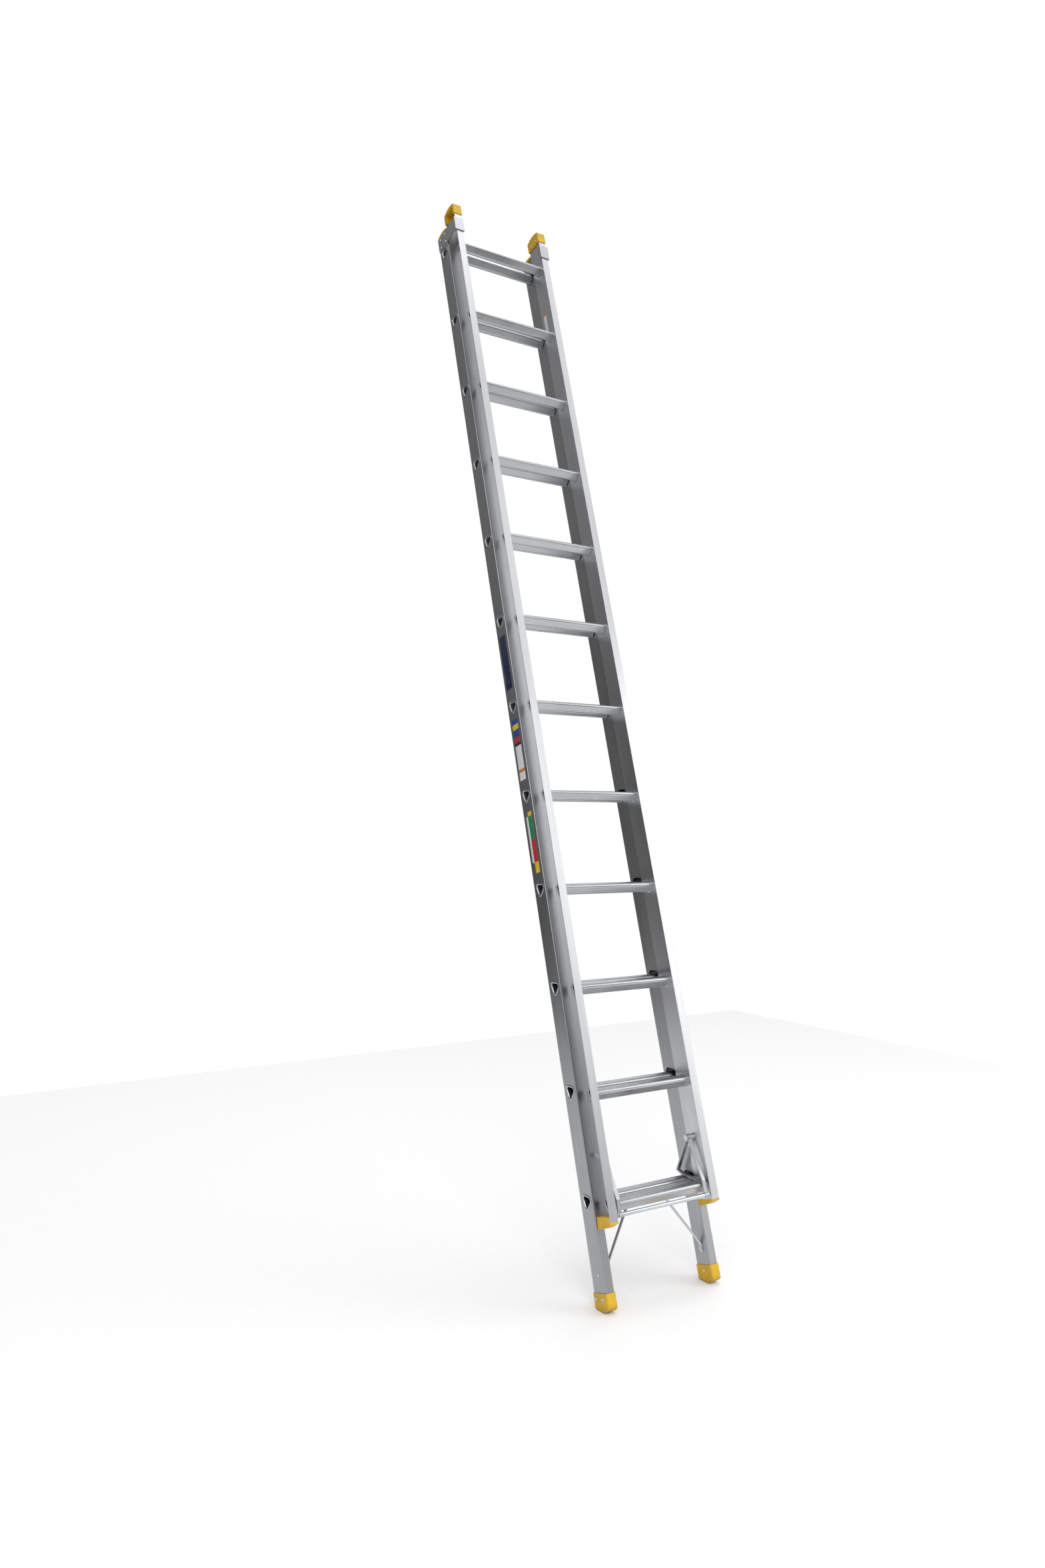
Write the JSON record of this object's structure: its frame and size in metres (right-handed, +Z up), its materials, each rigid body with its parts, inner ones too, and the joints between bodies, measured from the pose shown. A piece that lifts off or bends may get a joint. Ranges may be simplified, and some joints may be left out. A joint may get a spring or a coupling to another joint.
{
  "type": "extension ladder",
  "caption": "Closed two-section aluminium extension ladder, leaning: channel fly section sliding on a box-section base, with rung latches, guide brackets and plastic feet.",
  "frame": {"origin": "on the floor, midway between the soles of the two feet", "axes": "+Z up, +X across the rungs, +Y from the climber's side towards the wall; the stiles lean towards +Y as in use"},
  "size_m": [0.418, 1.0823, 3.6723],
  "materials": {
    "stile_aluminium": "satin extruded, fine lines along the length",
    "rung_aluminium": "satin, finely ribbed tread",
    "sheet_aluminium": "bright mill finish sheet",
    "moulded_plastic": "moulded orange-yellow plastic, slight sheen",
    "zinc_steel": "bright zinc plating",
    "rivets": "bright domed heads"
  },
  "bodies": {
    "base": {"base_stile_left": "stile_aluminium", "base_stile_right": "stile_aluminium", "base_rung_01": "rung_aluminium", "base_rung_02": "rung_aluminium", "base_rung_03": "rung_aluminium", "base_rung_04": "rung_aluminium", "base_rung_05": "rung_aluminium", "base_rung_06": "rung_aluminium", "base_rung_07": "rung_aluminium", "base_rung_08": "rung_aluminium", "base_rung_09": "rung_aluminium", "base_rung_10": "rung_aluminium", "base_rung_11": "rung_aluminium", "base_rung_12": "rung_aluminium", "base_foot_left": "moulded_plastic", "base_foot_right": "moulded_plastic", "foot_bolts": "zinc_steel", "base_top_cap_left": "moulded_plastic", "base_top_cap_right": "moulded_plastic", "guide_bracket_left": "sheet_aluminium", "guide_bracket_right": "sheet_aluminium", "guide_bracket_rivets": "rivets", "brace_left": "zinc_steel", "brace_right": "zinc_steel", "brace_bolts": "zinc_steel"},
    "fly": {"fly_stile_left": "stile_aluminium", "fly_stile_right": "stile_aluminium", "fly_rung_01": "rung_aluminium", "fly_rung_02": "rung_aluminium", "fly_rung_03": "rung_aluminium", "fly_rung_04": "rung_aluminium", "fly_rung_05": "rung_aluminium", "fly_rung_06": "rung_aluminium", "fly_rung_07": "rung_aluminium", "fly_rung_08": "rung_aluminium", "fly_rung_09": "rung_aluminium", "fly_rung_10": "rung_aluminium", "fly_rung_11": "rung_aluminium", "fly_rung_12": "rung_aluminium", "fly_top_cap_left": "moulded_plastic", "fly_top_cap_right": "moulded_plastic", "fly_top_cap_rivets": "rivets", "fly_bottom_cap_left": "moulded_plastic", "fly_bottom_cap_right": "moulded_plastic", "fly_bottom_cap_rivets": "rivets", "latch_pivot_bolts": "zinc_steel", "latch_pivot_nuts": "zinc_steel"},
    "latch": {"latch_frame_left": "sheet_aluminium", "latch_frame_right": "sheet_aluminium", "tie_rod": "zinc_steel", "tie_rod_nuts": "zinc_steel"}
  },
  "joints": [
    {"name": "fly_slide", "type": "slide", "parent": "base", "child": "fly", "axis": [0, 0.2723, 0.9622], "range_m": [0, 2.745]},
    {"name": "latch_swing", "type": "hinge", "parent": "fly", "child": "latch", "pos_m": [0, 0.04299, 0.41048], "axis": [-1, 0, 0], "range_deg": [0, 26]}
  ]
}
